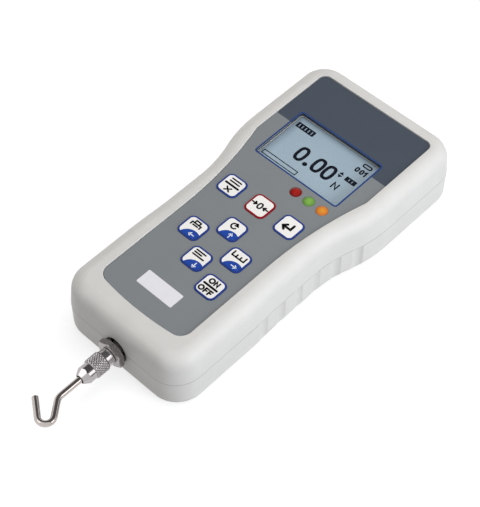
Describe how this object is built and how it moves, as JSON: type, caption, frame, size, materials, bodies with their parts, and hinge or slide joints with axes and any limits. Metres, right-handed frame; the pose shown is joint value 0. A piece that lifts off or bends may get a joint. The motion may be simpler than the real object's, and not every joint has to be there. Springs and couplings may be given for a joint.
{
  "type": "digital force gauge",
  "caption": "Hand-held digital force gauge with a fluted grip, a keypad under a display, and a wire hook in a knurled chuck on its measuring axis.",
  "frame": {"origin": "centre of the four stand-mount threads, on the flat back of the housing", "axes": "+X to the user's right, +Y along the measuring axis from the hook towards the display end, +Z out of the face"},
  "size_m": [0.0774, 0.2057, 0.028],
  "materials": {
    "housing_plastic": "fine-grained satin",
    "panel_film": "satin film, darker band round the display",
    "window": "clear acrylic",
    "display_glass": "dim grey-blue display",
    "white_plastic": "matte",
    "circuit_board": "solder-masked laminate",
    "plated_steel": "tin plated",
    "zinc_steel": "zinc plated",
    "black_plastic": "moulded",
    "black_steel": "black oxide",
    "bright_steel": "turned",
    "chuck_chrome": "bright plated",
    "hook_steel": "polished",
    "cell_aluminium": "milled",
    "brass": "turned",
    "cell_can": "nickel plated",
    "blue_sleeve": "shrink film",
    "key_plastic": "printed, blue border and corner",
    "red_lamp": "diffused",
    "green_lamp": "diffused",
    "orange_lamp": "diffused"
  },
  "bodies": {
    "case": {"front_housing": "housing_plastic", "rear_housing": "housing_plastic", "face_panel": "panel_film", "display_window": "window", "lcd_bezel": "plated_steel", "lcd_glass": "display_glass", "lcd_backlight": "white_plastic", "main_board": "circuit_board", "board_screws": "zinc_steel", "key_switches": "black_plastic", "buzzer": "black_plastic", "lamp_red": "red_lamp", "lamp_green": "green_lamp", "lamp_orange": "orange_lamp", "housing_screws": "zinc_steel", "mount_inserts": "brass", "load_cell": "cell_aluminium", "load_cell_bracket": "zinc_steel", "load_cell_bolt": "black_steel", "bracket_screws": "zinc_steel", "spindle": "bright_steel", "battery_cells": "cell_can", "battery_sleeve": "blue_sleeve", "io_board": "circuit_board", "charger_socket": "black_plastic", "data_socket": "plated_steel"},
    "key_menu": {"key_menu": "key_plastic"},
    "key_zero": {"key_zero": "key_plastic"},
    "key_enter": {"key_enter": "key_plastic"},
    "key_up": {"key_up": "key_plastic"},
    "key_left": {"key_left": "key_plastic"},
    "key_right": {"key_right": "key_plastic"},
    "key_down": {"key_down": "key_plastic"},
    "key_power": {"key_power": "key_plastic"},
    "nut": {"lock_nut": "black_steel"},
    "chuck": {"chuck_body": "chuck_chrome", "collet": "black_steel", "hook": "hook_steel"},
    "nose": {"chuck_nose": "chuck_chrome"}
  },
  "joints": [
    {"name": "key_menu_press", "type": "slide", "parent": "case", "child": "key_menu", "axis": [0, 0, -1], "range_m": [0, 0.00045], "stiffness_N_per_m": 300, "springref_m": -0.0005},
    {"name": "key_zero_press", "type": "slide", "parent": "case", "child": "key_zero", "axis": [0, 0, -1], "range_m": [0, 0.00045], "stiffness_N_per_m": 300, "springref_m": -0.0005},
    {"name": "key_enter_press", "type": "slide", "parent": "case", "child": "key_enter", "axis": [0, 0, -1], "range_m": [0, 0.00045], "stiffness_N_per_m": 300, "springref_m": -0.0005},
    {"name": "key_up_press", "type": "slide", "parent": "case", "child": "key_up", "axis": [0, 0, -1], "range_m": [0, 0.00045], "stiffness_N_per_m": 300, "springref_m": -0.0005},
    {"name": "key_left_press", "type": "slide", "parent": "case", "child": "key_left", "axis": [0, 0, -1], "range_m": [0, 0.00045], "stiffness_N_per_m": 300, "springref_m": -0.0005},
    {"name": "key_right_press", "type": "slide", "parent": "case", "child": "key_right", "axis": [0, 0, -1], "range_m": [0, 0.00045], "stiffness_N_per_m": 300, "springref_m": -0.0005},
    {"name": "key_down_press", "type": "slide", "parent": "case", "child": "key_down", "axis": [0, 0, -1], "range_m": [0, 0.00045], "stiffness_N_per_m": 300, "springref_m": -0.0005},
    {"name": "key_power_press", "type": "slide", "parent": "case", "child": "key_power", "axis": [0, 0, -1], "range_m": [0, 0.00045], "stiffness_N_per_m": 300, "springref_m": -0.0005},
    {"name": "lock_nut_turn", "type": "hinge", "parent": "case", "child": "nut", "pos_m": [0, -0.0671, 0.0127], "axis": [0, -1, 0], "range_deg": [-180, 180]},
    {"name": "chuck_turn", "type": "hinge", "parent": "case", "child": "chuck", "pos_m": [0, -0.0747, 0.0127], "axis": [0, -1, 0], "range_deg": [-180, 180]},
    {"name": "nose_turn", "type": "hinge", "parent": "chuck", "child": "nose", "pos_m": [0, -0.0807, 0.0127], "axis": [0, -1, 0], "range_deg": [-180, 180]}
  ]
}
